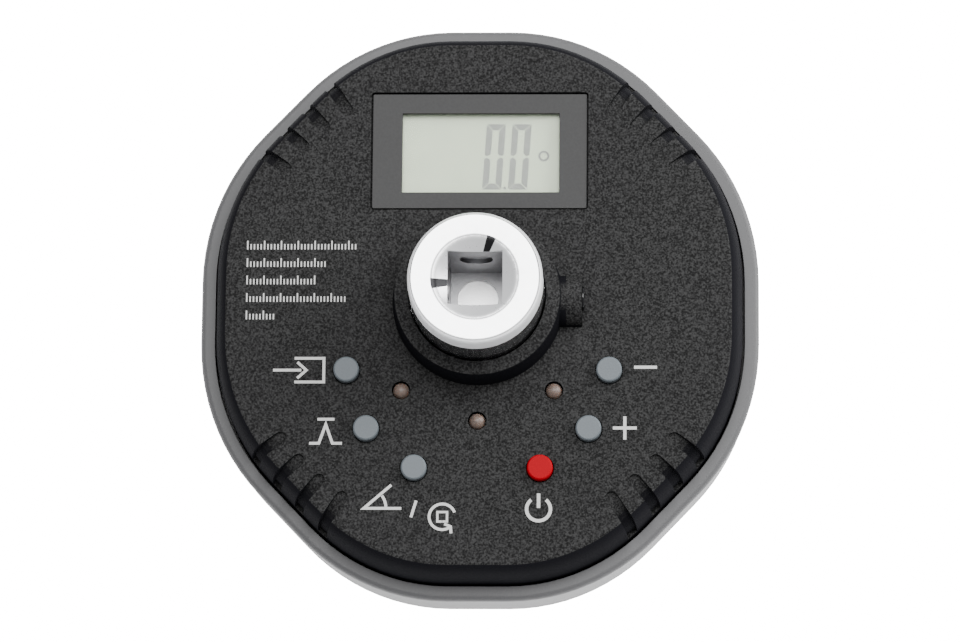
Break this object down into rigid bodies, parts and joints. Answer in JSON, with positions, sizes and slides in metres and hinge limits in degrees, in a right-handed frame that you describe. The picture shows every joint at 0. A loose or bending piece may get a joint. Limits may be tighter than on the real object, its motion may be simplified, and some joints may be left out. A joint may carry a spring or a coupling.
{
  "type": "digital torque angle adapter",
  "caption": "Octagonal two-shell torque and angle meter with a display, buttons and lamps round a square drive spindle that passes through it.",
  "frame": {"origin": "middle of the male square's tip, on the spindle axis", "axes": "+Z along the spindle axis towards the female square and the front face, +Y towards the display, +X to the right as the display is read"},
  "size_m": [0.0996, 0.1048, 0.062],
  "materials": {
    "cover_black": "spark textured face, smooth sides",
    "shell_grey": "satin moulded",
    "gasket_rubber": "moulded cord",
    "screw_steel": "zinc-nickel plated",
    "bezel_grey": "fine matt paint",
    "window_clear": "hard coated",
    "panel_glass": "reflective polariser",
    "holder_white": "moulded",
    "strip_pink": "layered silicone",
    "button_grey": "moulded",
    "button_red": "moulded",
    "plunger_black": "moulded",
    "switch_steel": "stamped cover",
    "lamp_tint": "diffused epoxy",
    "tinned_wire": "tinned",
    "board_green": "solder resist",
    "chip_black": "moulded epoxy",
    "can_steel": "drawn can",
    "spindle_chrome": "satin chromed steel",
    "gauge_foil": "foil on film",
    "sleeve_grey": "anodised",
    "flex_amber": "polyimide film",
    "connector_cream": "moulded",
    "ball_steel": "polished",
    "spring_steel": "drawn wire",
    "seal_rubber": "moulded ring",
    "bush_white": "moulded acetal",
    "washer_steel": "stamped",
    "ring_dark": "phosphated spring steel",
    "clamp_dark": "black oxide",
    "cap_gloss": "gloss moulded",
    "cell_jacket": "plain shrink sleeve",
    "contact_nickel": "nickel plated"
  },
  "bodies": {
    "housing": {"front_cover": "cover_black", "rear_shell": "shell_grey", "shell_gasket": "gasket_rubber", "housing_screws": "screw_steel", "display_bezel": "bezel_grey", "display_window": "window_clear", "lcd_panel": "panel_glass", "lcd_holder": "holder_white", "contact_strips": "strip_pink", "tact_switches": "switch_steel", "indicator_lamps": "lamp_tint", "lamp_leads": "tinned_wire", "main_board": "board_green", "board_screws": "screw_steel", "microcontroller": "chip_black", "motion_sensor": "chip_black", "bridge_amplifier": "chip_black", "crystal": "can_steel", "buzzer": "chip_black", "drive_spindle": "spindle_chrome", "strain_gauges": "gauge_foil", "gauge_sleeve": "sleeve_grey", "gauge_flex": "flex_amber", "flex_connector": "connector_cream", "detent_spring": "spring_steel", "front_seal": "seal_rubber", "rear_bush": "bush_white", "rear_washer": "washer_steel", "retaining_ring": "ring_dark", "clamp_screw": "clamp_dark", "lug_cap": "cap_gloss", "battery_1": "cell_jacket", "battery_2": "cell_jacket", "battery_contacts": "contact_nickel", "battery_springs": "contact_nickel"},
    "memory_body": {"memory_button": "button_grey", "memory_plunger": "plunger_black"},
    "peak_body": {"peak_button": "button_grey", "peak_plunger": "plunger_black"},
    "angle_body": {"angle_button": "button_grey", "angle_plunger": "plunger_black"},
    "power_body": {"power_button": "button_red", "power_plunger": "plunger_black"},
    "plus_body": {"plus_button": "button_grey", "plus_plunger": "plunger_black"},
    "minus_body": {"minus_button": "button_grey", "minus_plunger": "plunger_black"},
    "door_body": {"battery_door": "shell_grey"},
    "ball_body": {"detent_ball": "ball_steel"}
  },
  "joints": [
    {"name": "memory_press", "type": "slide", "parent": "housing", "child": "memory_body", "axis": [0, 0, -1], "range_m": [0, 0.0005], "stiffness_N_per_m": 400, "springref_m": -0.0005},
    {"name": "peak_press", "type": "slide", "parent": "housing", "child": "peak_body", "axis": [0, 0, -1], "range_m": [0, 0.0005], "stiffness_N_per_m": 400, "springref_m": -0.0005},
    {"name": "angle_press", "type": "slide", "parent": "housing", "child": "angle_body", "axis": [0, 0, -1], "range_m": [0, 0.0005], "stiffness_N_per_m": 400, "springref_m": -0.0005},
    {"name": "power_press", "type": "slide", "parent": "housing", "child": "power_body", "axis": [0, 0, -1], "range_m": [0, 0.0005], "stiffness_N_per_m": 400, "springref_m": -0.0005},
    {"name": "plus_press", "type": "slide", "parent": "housing", "child": "plus_body", "axis": [0, 0, -1], "range_m": [0, 0.0005], "stiffness_N_per_m": 400, "springref_m": -0.0005},
    {"name": "minus_press", "type": "slide", "parent": "housing", "child": "minus_body", "axis": [0, 0, -1], "range_m": [0, 0.0005], "stiffness_N_per_m": 400, "springref_m": -0.0005},
    {"name": "door_slide", "type": "slide", "parent": "housing", "child": "door_body", "axis": [0, -1, 0], "range_m": [0, 0.037]},
    {"name": "ball_detent", "type": "slide", "parent": "housing", "child": "ball_body", "axis": [0, 1, 0], "range_m": [0, 0.0007], "stiffness_N_per_m": 500, "springref_m": -0.001, "deforming": ["detent_spring"]}
  ]
}
